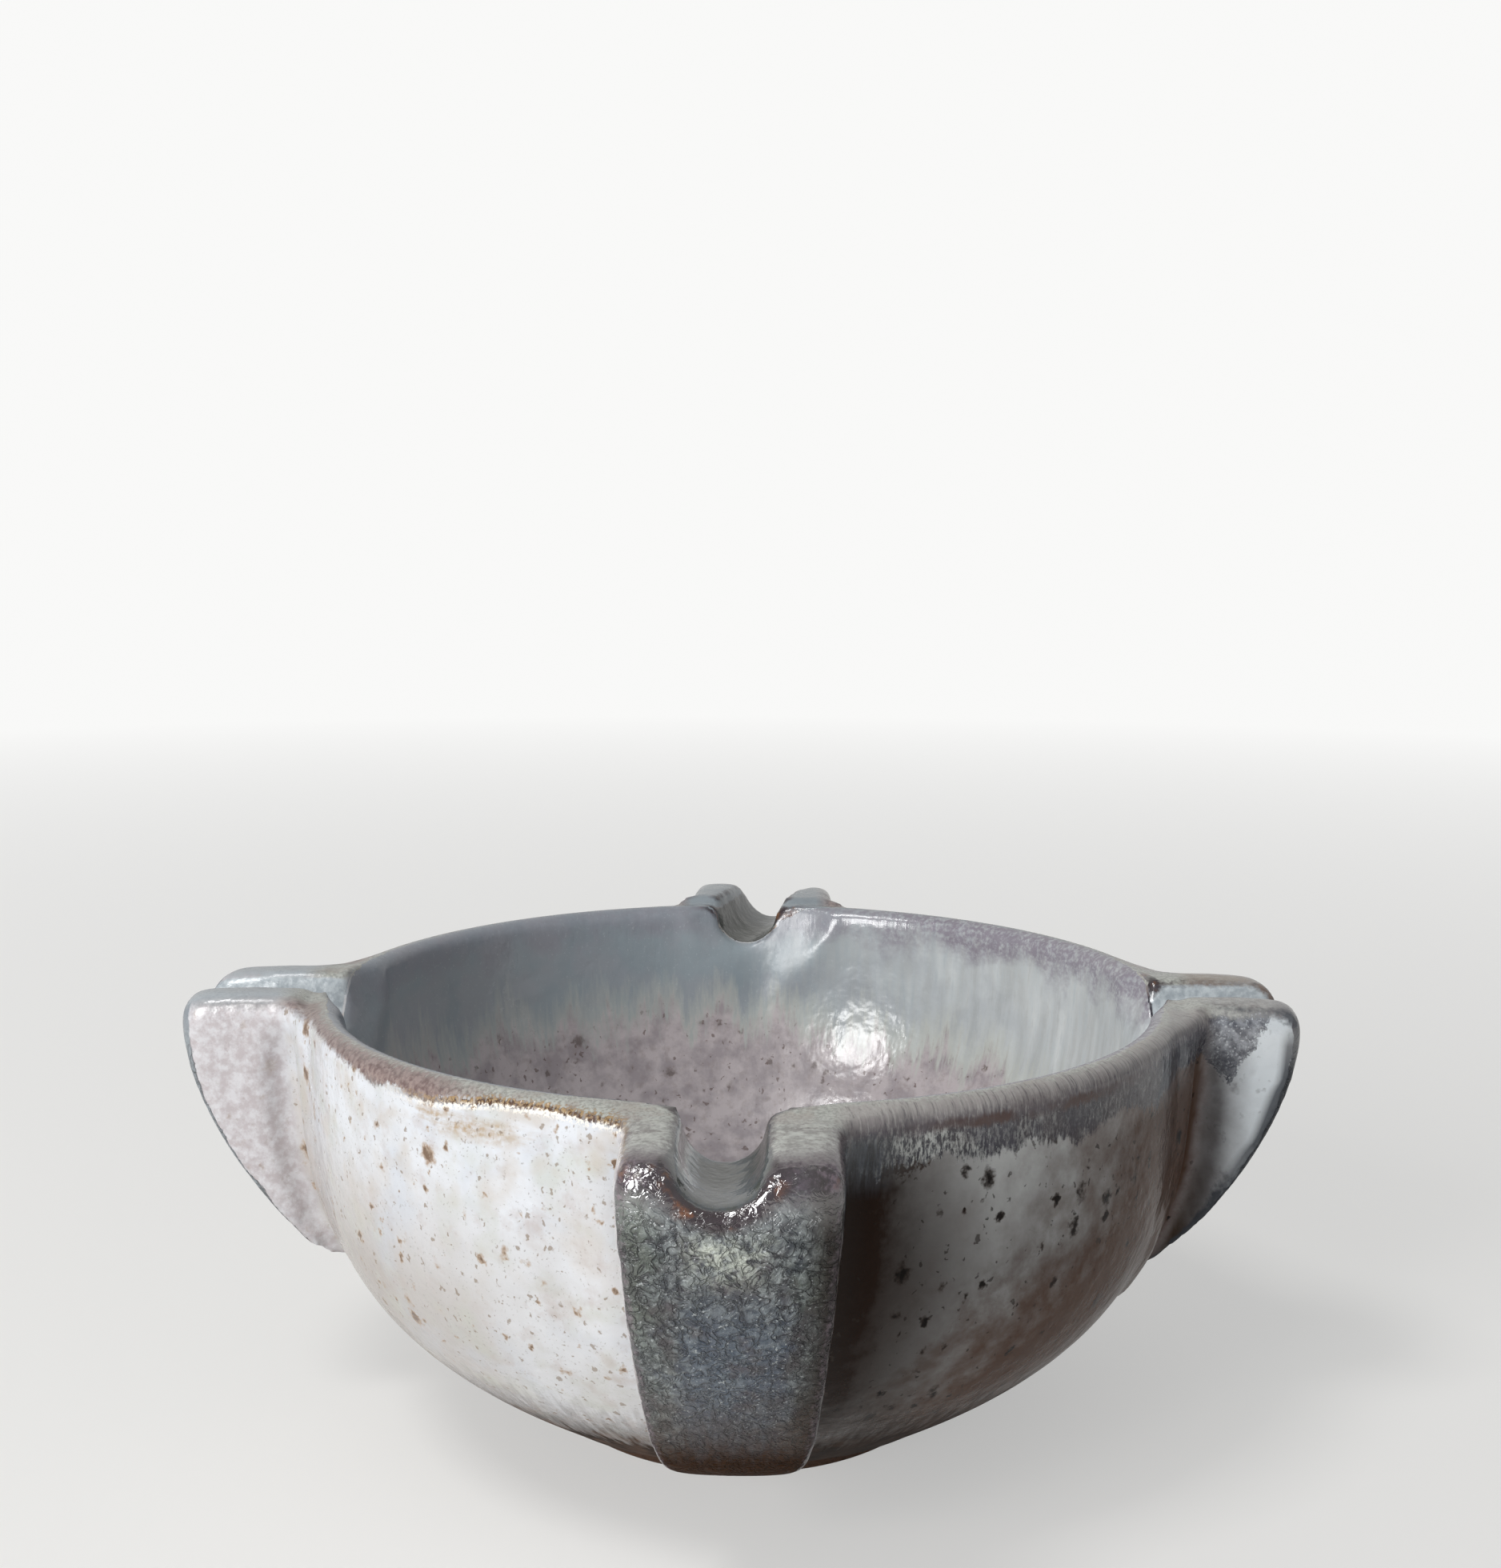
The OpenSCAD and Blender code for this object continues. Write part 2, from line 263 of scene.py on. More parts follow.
def lug_levels(name, lug):
    """Each level of a lug from its top down: its height, half width, root and tip."""
    end_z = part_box(name)[0].z + lug["lift"] * MM
    reach, end_tip = lug["reach"] * MM, lug["end"] * MM
    heights = [end_z + end_round * (1 - math.cos(math.radians(22.5 * i))) for i in range(4)]
    run = lug_top - top_round - end_z - end_round
    heights += [end_z + end_round + run * i / 12 for i in range(13)]
    heights += [lug_top - top_round * (1 - math.sin(math.radians(22.5 * i))) for i in range(1, 5)]
    levels = []
    for z in heights:
        up = (z - end_z) / (lug_top - end_z)
        half = (end_half + half_gain * up**0.8) * MM
        root = belly(rim_z - z)
        tip = reach - (reach - end_tip) * (1 - up) ** 2
        low = max(1 - (z - end_z) / end_round, 0)
        high = max(1 - (lug_top - z) / top_round, 0)
        draw_in = end_round * (1 - math.sqrt(1 - low**2))
        tip_in = top_round * (1 - math.sqrt(1 - high**2))
        end_in = min(draw_in, 0.7 * (tip - root))
        levels.append((z, half - draw_in - tip_in / 2, root, tip - end_in - tip_in))
    return levels[::-1]


def select_where(obj, kind, test):
    """Selects, in edit mode, every vertex or edge whose ends all pass the test."""
    bpy.context.view_layer.objects.active = obj
    if obj.mode == "OBJECT":
        bpy.ops.object.mode_set(mode="EDIT")
    bpy.ops.mesh.select_mode(type=kind)
    bpy.ops.mesh.select_all(action="DESELECT")
    bpy.ops.object.mode_set(mode="OBJECT")
    spots = [vertex.co for vertex in obj.data.vertices]
    if kind == "VERT":
        for vertex in obj.data.vertices:
            vertex.select = test(vertex.co)
    else:
        for edge in obj.data.edges:
            edge.select = all(test(spots[v]) for v in edge.vertices)
    bpy.ops.object.mode_set(mode="EDIT")


def turned(obj, turn):
    """Applies a shape's place, turned about the bowl's axis."""
    bpy.ops.object.select_all(action="DESELECT")
    obj.select_set(True)
    bpy.context.view_layer.objects.active = obj
    obj.matrix_world = Matrix.Rotation(math.radians(turn), 4, "Z") @ obj.matrix_world
    bpy.ops.object.transform_apply(location=True, rotation=True, scale=True)
    return obj


def make_lug(name, lug):
    """Models one lug along +X, then turns it to its place."""
    levels = lug_levels(name, lug)
    z, half, root, tip = levels[0]
    cove = cove_share * (tip - root)
    bpy.ops.object.select_all(action="DESELECT")
    bpy.ops.mesh.primitive_plane_add(size=1, location=((root + cove + tip) / 2, 0, z))
    obj = bpy.context.object
    obj.scale = (tip - root - cove, half * 2, 1)
    bpy.ops.object.transform_apply(location=True, rotation=False, scale=True)
    select_where(obj, "VERT", lambda spot: spot.x > tip - MM)
    bpy.ops.mesh.bevel(affect="VERTICES", offset=corner_r, segments=4)
    on_tip = tip - 0.1 * MM
    select_where(obj, "EDGE", lambda spot: spot.x > on_tip)
    bpy.ops.mesh.subdivide(number_cuts=3)
    for strip, out in ((half / 2, face_crown), (0.1 * MM, face_peak)):
        select_where(obj, "VERT", lambda spot: spot.x > on_tip and abs(spot.y) < strip)
        bpy.ops.transform.translate(value=(out, 0, 0))
    select_where(obj, "EDGE", lambda spot: spot.x < root + 1.5 * cove)
    for back, spread in root_flare:
        bpy.ops.mesh.extrude_region_move(TRANSFORM_OT_translate={"value": (-back * cove, 0, 0)})
        bpy.ops.transform.resize(value=(1, spread, 1), center_override=(0, 0, 0))
    bpy.ops.mesh.select_all(action="SELECT")
    for (z0, half0, root0, tip0), (z1, half1, root1, tip1) in zip(levels, levels[1:]):
        step = (root1 - root0, 0, z1 - z0)
        bpy.ops.mesh.extrude_region_move(TRANSFORM_OT_translate={"value": step})
        stretch = (tip1 - root1) / (tip0 - root0)
        bpy.ops.transform.resize(value=(stretch, half1 / half0, 1), center_override=(root1, 0, 0))
    ear_z, ear_y = lug_top - 4 * MM, 2 * MM
    for side, ear in zip((-1, 1), lug["ears"]):
        select_where(
            obj, "VERT", lambda spot: spot.z > ear_z and spot.y * side > ear_y and spot.x > rim_r
        )
        bpy.ops.transform.translate(value=(0, 0, ear * MM))
    bpy.ops.mesh.select_all(action="SELECT")
    bpy.ops.mesh.normals_make_consistent(inside=False)
    bpy.ops.object.mode_set(mode="OBJECT")
    return turned(obj, lug["turn"])


def make_scoop(name, lug, side):
    """A round tool run down beside a lug, where its side meets the wall between its soft ends."""
    spots = [
        (root + scoop_off_wall, side * (half + scoop_off_side), z)
        for z, half, root, tip in lug_levels(name, lug)[4:-3]
    ]
    x, y, z = spots[-1]
    spots.append((belly(rim_z - z + scoop_run_out) + 2 * MM, y * 0.8, z - scoop_run_out))
    x, y, z = spots[0]
    bpy.ops.object.select_all(action="DESELECT")
    bpy.ops.mesh.primitive_circle_add(
        vertices=20, radius=scoop_r, fill_type="NGON",
        location=(x + scoop_from[0], y + side * scoop_from[1], z + scoop_from[2]),
    )
    obj = bpy.context.object
    bpy.ops.object.mode_set(mode="EDIT")
    bpy.ops.mesh.select_all(action="SELECT")
    spreads = scoop_entry + (1,) * len(spots)
    for spread, here, there in zip(spreads, [tuple(obj.location)] + spots, spots):
        step = [b - a for a, b in zip(here, there)]
        bpy.ops.mesh.extrude_region_move(TRANSFORM_OT_translate={"value": step})
        bpy.ops.transform.resize(value=(spread, spread, 1), center_override=there)
    bpy.ops.mesh.select_all(action="SELECT")
    bpy.ops.mesh.normals_make_consistent(inside=False)
    bpy.ops.object.mode_set(mode="OBJECT")
    return turned(obj, lug["turn"])


def carve(obj, tool, how):
    """Joins, cuts or keeps a piece with another shape, which is used up."""
    step = obj.modifiers.new("carve", "BOOLEAN")
    step.operation = how
    step.solver = "MANIFOLD"
    step.object = tool
    bpy.context.view_layer.objects.active = obj
    bpy.ops.object.modifier_apply(modifier=step.name)
    bpy.data.objects.remove(tool)


for name, lug in lugs.items():
    carve(clay, make_lug(name, lug), "UNION")
    for side in (-1, 1):
        carve(clay, make_scoop(name, lug, side), "DIFFERENCE")

# ---------------------------------------------------------------------------------------------
# The notches: pressed with a round stick through each lug and the wall behind it.
# A wiped hollow opens the lip towards the notch, and a shallow groove runs down inside.
# ---------------------------------------------------------------------------------------------
stick_r = 5.4 * MM
notch_depth = 7.2 * MM
notch_rise = math.radians(3.5)
notch_middle, notch_length = 78 * MM, 60 * MM
mouth_w, mouth_h, mouth_flare = 11 * MM, 10 * MM, 1.6
mouth_z, hollow_z = rim_z + 3 * MM, rim_z - 6 * MM
hollow_low_r, hollow_top_r, hollow_h, hollow_x = 21.6 * MM, 26.6 * MM, 16 * MM, 43.1 * MM
groove_size, groove_x = (7.6 * MM, 8.1 * MM, 28 * MM), 59.4 * MM


def flared_block(size, place, flare):
    """A block whose top is pulled wider across than its foot."""
    bpy.ops.mesh.primitive_cube_add(size=1, location=place)
    block = bpy.context.object
    block.scale = size
    select_where(block, "VERT", lambda spot: spot.z > 0)
    bpy.ops.transform.resize(value=(1, flare, 1))
    bpy.ops.object.mode_set(mode="OBJECT")
    return block


def skewed(obj, lug):
    """Sets a notch's tool off to one side and askew, as the stick was held, then turns it."""
    shift, skew = lug["notch"]
    hinge = Matrix.Translation((rim_r, shift * MM, 0))
    askew = hinge @ Matrix.Rotation(math.radians(skew), 4, "Z") @ Matrix.Translation((-rim_r, 0, 0))
    obj.matrix_world = askew @ obj.matrix_world
    return turned(obj, lug["turn"])


for lug in lugs.values():
    bpy.ops.mesh.primitive_cylinder_add(
        vertices=32, radius=stick_r, depth=notch_length,
        location=(notch_middle, 0, rim_z - notch_depth + stick_r),
        rotation=(0, math.pi / 2 - notch_rise, 0),
    )
    carve(clay, skewed(bpy.context.object, lug), "DIFFERENCE")
    mouth_size = (notch_length, mouth_w, mouth_h)
    mouth = flared_block(mouth_size, (notch_middle, 0, mouth_z), mouth_flare)
    carve(clay, skewed(mouth, lug), "DIFFERENCE")
    bpy.ops.mesh.primitive_cone_add(
        vertices=64, radius1=hollow_low_r, radius2=hollow_top_r, depth=hollow_h,
        location=(hollow_x, 0, hollow_z),
    )
    carve(clay, turned(bpy.context.object, lug["turn"]), "DIFFERENCE")
    bpy.ops.mesh.primitive_uv_sphere_add(
        segments=32, ring_count=24, radius=1, location=(groove_x, 0, rim_z)
    )
    bpy.context.object.scale = groove_size
    carve(clay, turned(bpy.context.object, lug["turn"]), "DIFFERENCE")

# ---------------------------------------------------------------------------------------------
# The wet clay as one skin: bowl, lugs and notches are remade with one even grain, and worn soft
# by wet hands, a sponge and fingers, so that no join between the pieces shows.
# ---------------------------------------------------------------------------------------------
skin_grain = 0.92 * MM
skin = clay.modifiers.new("skin", "REMESH")
skin.mode = "VOXEL"
skin.voxel_size = skin_grain
bpy.context.view_layer.objects.active = clay
bpy.ops.object.modifier_apply(modifier="skin")


def soften(name, passes, pressure=None):
    """Smooths the clay in some passes, all over or by each point's pressure from 0 to 1."""
    hands = clay.modifiers.new(name, "SMOOTH")
    hands.factor = 0.5
    hands.iterations = passes
    if pressure:
        hands.vertex_group = clay.vertex_groups.new(name=name).name
        for vertex in clay.data.vertices:
            share = pressure(vertex.co)
            if share > 0:
                clay.vertex_groups[name].add([vertex.index], share, "REPLACE")
    bpy.ops.object.modifier_apply(modifier=hands.name)


def proud(spot):
    """How far a point stands out from the belly's own form."""
    return math.hypot(spot.x, spot.y) - belly(rim_z - spot.z)


def wiped(spot):
    """A sponge wiped the inside, and left the grooves below the notches softer still."""
    low, high, fade = 25 * MM, 63 * MM, 4 * MM
    if math.hypot(spot.x, spot.y) < 67 * MM and low < spot.z < high:
        return min((high - spot.z) / fade, 1)
    return 0


def pressed(spot):
    """Fingers pressed the ears, and the lower end of the front lug, rounder than other edges."""
    ears_out, ears_up, fade = 80 * MM, 58 * MM, 5 * MM
    tips = math.hypot(spot.x, spot.y) - ears_out
    if tips > 0 and spot.z > ears_up:
        return min(tips / fade, (spot.z - ears_up) / fade, 1)
    end_up, end_wide, start = 25 * MM, 16 * MM, 2 * MM
    if proud(spot) > -start and spot.z < end_up and spot.y < 0 and abs(spot.x) < end_wide:
        return min((proud(spot) + start) / start, (end_up - spot.z) / (6 * MM), 1)
    return 0


def thumbed(spot):
    """A wet thumb ran down each scoop, so it flows into the wall and the lug."""
    scoop_in, scoop_out, low, high = 9 * MM, 24 * MM, 12 * MM, 67 * MM
    beside, ahead = sorted((abs(spot.x), abs(spot.y)))
    if not (scoop_in < beside < scoop_out and proud(spot) > -3 * MM and low < spot.z < high):
        return 0
    off_wall = max(ahead - belly(rim_z - spot.z), 0)
    side, wall_side = (beside - scoop_in) / (3 * MM), (7 * MM - off_wall) / (4 * MM)
    return min(side, wall_side, (high - spot.z) / (3 * MM), 1)


soften("wet_hands", 9)
soften("wiped", 30, wiped)
soften("pressed", 24, pressed)
soften("thumbed", 23, thumbed)

# Where the glaze lies is worked out on the whole form, so that it runs on from piece to piece.
# It breaks over edges, so the skin's roundness is measured, in turns out per millimetre.
count = len(clay.data.vertices)
spots, normals = np.empty(count * 3), np.empty(count * 3)
clay.data.vertices.foreach_get("co", spots)
clay.data.vertices.foreach_get("normal", normals)
spots, normals = spots.reshape(-1, 3) / MM, normals.reshape(-1, 3)
ends = np.empty(len(clay.data.edges) * 2, dtype=int)
clay.data.edges.foreach_get("vertices", ends)
near, far = ends.reshape(-1, 2).T
shared = np.bincount(near, minlength=count) + np.bincount(far, minlength=count)


def eased(values, times):
    """Spreads values over the skin, from each point to its neighbours."""
    for _ in range(times):
        pooled = np.bincount(near, values[far], count) + np.bincount(far, values[near], count)
        values = (values + pooled) / (1 + shared)
    return values


span = spots[far] - spots[near]
gap = (span**2).sum(axis=1)
bend_near = -2 * (span * normals[near]).sum(axis=1) / gap
bend_far = 2 * (span * normals[far]).sum(axis=1) / gap
roundness = (np.bincount(near, bend_near, count) + np.bincount(far, bend_far, count)) / shared

radius = np.hypot(spots[:, 0], spots[:, 1])
deep = np.clip(rim_z / MM - spots[:, 2], 0, belly_drop / MM)
outer, inner = belly(deep * MM) / MM, hollow(deep * MM) / MM
indoors = (radius < (outer + inner) / 2) & (spots[:, 2] > (under_z + floor_t / 2) / MM)

# Widths are in millimetres across a lug, each a little more than the part it takes in.
face_half, lug_half, trough_half = 17, 19, 6.6
lug_faces, troughs, lugged = np.zeros((3, count))
for lug in lugs.values():
    turn, shift, skew = math.radians(lug["turn"]), lug["notch"][0], math.radians(lug["notch"][1])
    outwards = spots[:, 0] * math.cos(turn) + spots[:, 1] * math.sin(turn)
    sideways = spots[:, 1] * math.cos(turn) - spots[:, 0] * math.sin(turn)
    faces_out = normals[:, 0] * math.cos(turn) + normals[:, 1] * math.sin(turn)
    proud_of_wall = outwards > outer + 2
    lug_faces[proud_of_wall & (abs(sideways) < face_half) & (faces_out > 0.5)] = 1
    lugged[(outwards > outer + 2.5) & (abs(sideways) < lug_half)] = 1
    off_notch = sideways - shift - (outwards - rim_r / MM) * math.tan(skew)
    pressed_in = (abs(off_notch) < trough_half) & (deep < 9) & (deep > 1.2)
    troughs[(outwards > 64) & pressed_in & (faces_out < 0.6)] = 1

# Each mark fades over a few points of the skin, and the "near" ones reach well past their part.
marks = {
    "edge": eased(roundness, 3),
    "inside": eased(indoors.astype(float), 2),
    "face": eased(lug_faces, 2),
    "near_face": eased(lug_faces, 14),
    "notch": eased(troughs, 2),
    "near_notch": eased(troughs, 45),
    "on_lug": eased(lugged, 2),
}
for name, values in marks.items():
    clay.data.attributes.new(name, "FLOAT", "POINT").data.foreach_set("value", values)

# Divide: each lug is lifted out of the fused clay with the skin of wall behind it.
wall_skin, above = 3 * MM, rim_z + 4 * MM
cut_x, cut_length, cut_width, cut_top, cut_flare = 75 * MM, 70 * MM, 34 * MM, 78 * MM, 1.3
spared = outside_section(wall_skin) + [(rim_r - wall_skin, above), (0, above)]
for name, lug in lugs.items():
    end_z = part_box(name)[0].z
    block = flared_block(
        (cut_length, cut_width, cut_top - end_z + 2 * MM),
        (cut_x, 0, (end_z + cut_top) / 2 - 1 * MM),
        cut_flare,
    )
    turned(block, lug["turn"])
    carve(block, spin_section("spared", spared, 96), "DIFFERENCE")
    piece, keep = clay.copy(), block.copy()
    for copied in (piece, keep):
        copied.data = copied.data.copy()
        bpy.context.scene.collection.objects.link(copied)
    piece.name = name + "_glazed"
    carve(piece, keep, "INTERSECT")
    carve(clay, block, "DIFFERENCE")
    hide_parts(name)
    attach(piece, "root")
clay.name = "bowl_glazed"
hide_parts("bowl")
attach(clay, "root")

# ---------------------------------------------------------------------------------------------
# The glaze: one reactive stoneware glaze, dipped white over dark and fired until it ran.
# It is milky where thick, slate blue inside, and breaks to purple-brown and rust over edges, and
# it gives the eye a soft, wet gloss, dulled where crystals grew and where the coat is thin.
# ---------------------------------------------------------------------------------------------
glaze = bpy.data.materials.new("reactive_stoneware_glaze")
glaze.use_nodes = True
tree = glaze.node_tree
coat = tree.nodes["Principled BSDF"]
metres = add(tree, "TexCoord", []).node.outputs["Object"]
place = add(tree, "VectorMath", [metres, 1 / MM], operation="SCALE")
x, y, z = add(tree, "SeparateXYZ", [place]).node.outputs
flat = add(tree, "VectorMath", [place, (1, 1, 0)], operation="MULTIPLY")
reach = add(tree, "VectorMath", [flat], operation="LENGTH")
depth = add(tree, "Math", [rim_z / MM, z], operation="SUBTRACT")
aside_x, aside_y = [add(tree, "Math", [axis], operation="ABSOLUTE") for axis in (x, y)]
across = add(tree, "Math", [aside_x, aside_y], operation="MINIMUM")
edge, inside, face, near_face, notch, near_notch, on_lug = [
    add(tree, "Attribute", [], attribute_name=name).node.outputs["Fac"] for name in marks
]
front = add(tree, "MapRange", [y, -20, -45])
# The right side: the outside is painted in shade there, and the glaze hangs and specks differently.
shaded_side = add(tree, "MapRange", [x, -14, 18, 0, add(tree, "MapRange", [y, 30, -5])])
on_wall = add(tree, "MapRange", [on_lug, 0.6, 0.1])
right_lug = add(tree, "MapRange", [x, 40, 50, 0, on_lug])
left_lug = add(tree, "MapRange", [x, -62, -68])
left_of_notch = add(tree, "MapRange", [x, -8, -14, 0, front])
bare_rim = add(tree, "MapRange", [x, -42, -32, 0, left_of_notch])

# Each cloud of colour has its size in millimetres. Real glaze dust is 0.1 to 0.3 mm across, too
# fine to show, so it is drawn at 0.5 mm.
clouds, blotch, mottle, marbling, grain, dust = [
    add(tree, "TexNoise", [place, 1 / size, detail, roughness])
    for size, detail, roughness in (
        (16, 3, 0.5), (8, 4, 0.55), (4.5, 5, 0.6), (1.6, 4, 0.65), (0.9, 3, 0.6), (0.5, 2, 0.6),
    )
]

# Streaks run down the wall as the glaze did, on a circle about the rim's own size. The finest,
# hair's fur, is 0.2 to 0.3 mm wide, and is drawn at 0.4 to 0.6 mm to show.
fur_r, drawn_out = 66, 0.13
round_wall = add(tree, "VectorMath", [flat], operation="NORMALIZE")
down_wall = add(tree, "Math", [z, reach], operation="ADD")
run_down = add(tree, "Math", [down_wall, drawn_out], operation="MULTIPLY")
run_down = add(tree, "CombineXYZ", [0, 0, run_down])
flow = add(
    tree, "VectorMath", [round_wall, (fur_r, fur_r, 0), run_down], operation="MULTIPLY_ADD"
)
broad_streaks, streaks, fur, washes = [
    add(tree, "TexNoise", [flow, 1 / size, detail, roughness])
    for size, detail, roughness in ((6, 3, 0.5), (1.1, 4, 0.6), (0.6, 3, 0.65), (2.2, 5, 0.7))
]
dash_flow = add(tree, "VectorMath", [flow, (1, 1, 2.4)], operation="MULTIPLY")
dashes = add(tree, "TexNoise", [dash_flow, 1 / 0.4, 3, 0.7])
blotch_sway, mottle_sway, grain_sway, dust_sway, broad_sway, streak_sway, fur_sway = [
    add(tree, "Math", [cloud, 0.5], operation="SUBTRACT")
    for cloud in (blotch, mottle, grain, dust, broad_streaks, streaks, fur)
]


def shifted(tree, reading, *shifts):
    """Shifts a reading by others, each times its own amount, so that an edge wanders."""
    for other, amount in shifts:
        reading = add(tree, "Math", [other, amount, reading], operation="MULTIPLY_ADD")
    return reading


# Iron specks that melted through: a brown halo round a darker core, drawn out down the wall.
drift = add(tree, "TexNoise", [place, 0.8]).node.outputs["Color"]
drifted = add(tree, "VectorMath", [drift, (2.2, 2.2, 2.2), place], operation="MULTIPLY_ADD")
drawn = add(tree, "VectorMath", [drifted, (1, 1, 0.75)], operation="MULTIPLY")
ragged = add(tree, "Math", [grain_sway, 0.25], operation="MULTIPLY")
large = add(tree, "MapRange", [shaded_side, 0, 1, 0.25, 0.22])
halo, core = 0.0, 0.0
for size, wide, share in ((5, large, 0.5), (2.7, 0.26, 0.5), (1.1, 0.30, 0.66)):
    cells = add(tree, "TexVoronoi", [drawn, 1 / size]).node.outputs
    pick, grow, _ = add(tree, "SeparateXYZ", [cells["Color"]]).node.outputs
    chosen = add(tree, "Math", [pick, share], operation="GREATER_THAN")
    away = add(tree, "Math", [ragged, cells["Distance"]], operation="SUBTRACT")
    within = shifted(tree, away, (grow, wide))
    speck = add(tree, "MapRange", [within, -0.09, 0.02, 0, chosen])
    if size < 2:
        fine_dots = speck
    else:
        halo = add(tree, "Math", [halo, speck], operation="MAXIMUM")
        middle = add(tree, "MapRange", [within, 0, 0.09, 0, chosen])
        core = add(tree, "Math", [core, middle], operation="MAXIMUM")

# Milky white outside, with blue, green and pink tints, and darker low on the left as painted shade.
# The shaded right side is painted in shade: grey, lighter near the rim, and browner towards its far
# end as a painted brown reflection, with a painted shadow beside the front lug, and one great speck
# there.
bluish = add(tree, "TexNoise", [place, 1 / 11, 3])
painted_shade_grey = tinted(
    tree, "#8e8e8d",
    ("#716e6c", 1, (mottle, 0.35, 0.65)),
    ("#b4b5b4", 0.8, (depth, 26, 9)),
)
# Where the painted shade goes browner to the far end, and where the painted shadow by the front lug
# falls.
dusk, shadow = [
    add(tree, "Math", [x, shifted(tree, low, (mottle_sway, sway))], operation="ADD")
    for low, sway in (
        (add(tree, "MapRange", [z, 48, 20, 0, 32]), 26),
        (add(tree, "MapRange", [z, 48, 22, 0, 7]), 9),
    )
]
spot = add(tree, "VectorMath", [drifted, (22, -66, 63)], operation="SUBTRACT")
spot = add(tree, "VectorMath", [spot, (0.3, 0.3, 1)], operation="MULTIPLY")
spot = add(tree, "VectorMath", [spot], operation="LENGTH")
white = tinted(
    tree, "#dadde2",
    ("#c8c8c9", 1, (clouds, 0.45, 0.7)),
    # Painted shade, low on the left.
    ("#a59c96", 0.8, (z, 58, 38), (x, -28, -52)),
    ("#c0c8d4", 0.5, (bluish, 0.54, 0.72)),
    ("#c3c8be", 0.5, (blotch, 0.52, 0.68)),
    ("#b9aeab", 0.7, (mottle, 0.53, 0.75)),
    ("#8f8b88", 0.6, (dust, 0.62, 0.72)),
    (painted_shade_grey, shaded_side),
    ("#4e3424", 0.92, (shaded_side, 0, 1), (dusk, 41, 59)),
    ("#26160c", 1, (x, 3, 8), (y, -30, -44), (shadow, 35, 19)),
    ("#2a1d16", 1, (shifted(tree, spot, (dust_sway, 3)), 1.5, 0.9)),
)

# The lugs' sides: pinkish white on the left. On the right lug they are painted in shade, dark
# brown in the scoop to blue-white at the tip, and the front lug's right side is painted shade.
out = shifted(tree, x, (mottle_sway, 5))
scoop_shade = tinted(
    tree, "#42301f",
    ("#8b8a8c", 1, (out, 70, 76)),
    ("#d3d9dd", 1, (out, 75, 81)),
)
lug_side = tinted(
    tree, "#d6d5d8",
    ("#b3a9ab", 0.8, (marbling, 0.38, 0.6, 0.1)),
    (scoop_shade, right_lug),
    ("#2a201a", front, (x, 4, 7)),
)

# Ochre where it thins under the rim, and over the specks, and cream where it lies thick.
wide_flow = add(tree, "VectorMath", [place, (1, 1, 4)], operation="MULTIPLY")
smear = add(tree, "TexNoise", [wide_flow, 1 / 12, 4, 0.6])
cream = add(tree, "TexNoise", [place, 1 / 6.5, 3])
fewer = add(tree, "MapRange", [on_lug, 0.2, 0.6, 1, 0.25])
# Specks go darker on the shaded side as painted shade, and darker in random patches of rust.
rust_and_shade = add(tree, "Math", [add(tree, "TexNoise", [place, 1 / 9]), shaded_side], operation="ADD")
halo_brown = tinted(tree, "#a88f75", ("#332a25", 1, (rust_and_shade, 0.6, 1.3)))
core_brown = tinted(tree, "#6d543f", ("#0e0a08", 1, (rust_and_shade, 0.5, 1.2)))
dot_brown = tinted(tree, "#85735f", ("#241d19", shaded_side))
white = tinted(
    tree, white,
    (lug_side, on_lug),
    (
        "#a8895a", 0.8, (grain, 0.35, 0.6, 0.25), (smear, 0.38, 0.5),
        (depth, 3.6, 4.8), (depth, 8, 6), (x, -24, -32), (x, -49, -43), (front, 0, 1),
    ),
    (
        "#bdb0a0", 0.5, (cream, 0.5, 0.68),
        (depth, 34, 8, 0.15), (shaded_side, 0.6, 0.1), (on_wall, 0, 1),
    ),
    (halo_brown, fewer, (halo, 0, 1.2)),
    (core_brown, fewer, (core, 0, 1.05)),
    (dot_brown, fewer, (fine_dots, 0, 1.4)),
)

# The dark band that hangs from the rim: short on the lit left side, long and ragged on the shaded
# right side, and cut short where the rim is bare. On the right lug it hangs in a wedge.
band_length, fur_length, streak_length = [
    add(tree, "MapRange", [shaded_side, 0, 1, cool, warm])
    for cool, warm in ((3, 8), (1.4, 4.5), (1.4, 9))
]
hang = shifted(
    tree, band_length,
    (fur_sway, fur_length), (broad_sway, streak_length), (mottle_sway, 4), (dust_sway, 1.6),
)
hang = add(tree, "Math", [hang, add(tree, "MapRange", [x, -52, -68, 0, -3])], operation="ADD")
hang = shifted(tree, hang, (bare_rim, -2))
drape = [add(tree, "MapRange", [x, *slope]) for slope in ((70, 77.4, 5, 12), (77.4, 84, 12, 0))]
drape = add(tree, "Math", drape, operation="MINIMUM")
drape = shifted(tree, drape, (mottle_sway, 12), (dust_sway, 5))
hang = add(tree, "Mix", [right_lug, hang, drape])
past_band = add(tree, "Math", [depth, hang], operation="SUBTRACT")
pale_hung = tinted(
    tree, "#4a3d44",
    ("#6d6366", 1, (grain, 0.4, 0.6)),
    ("#b9bdc4", left_lug),
)
dark_hung = tinted(
    tree, "#54565e",
    ("#8f9298", 1, (marbling, 0.4, 0.6)),
    ("#c3c7cb", 0.7, (dust, 0.56, 0.66)),
    ("#3b3c43", 0.6, (depth, 6, 10)),
)
furry = tinted(
    tree, "#a9a5a1",
    ("#4f4b53", 1, (depth, 0.5, 3)),
    ("#c4c2bd", 0.4, (dashes, 0.52, 0.66)),
    ("#3b3a42", 0.6, (dashes, 0.46, 0.36)),
)
mauve = tinted(
    tree, "#6f5c5a",
    ("#998882", 1, (grain, 0.38, 0.6)),
    (furry, 0.9, (shaded_side, 0, 1)),
)
rim_edge = shifted(tree, depth, (mottle_sway, 4), (fur_sway, 2.5))
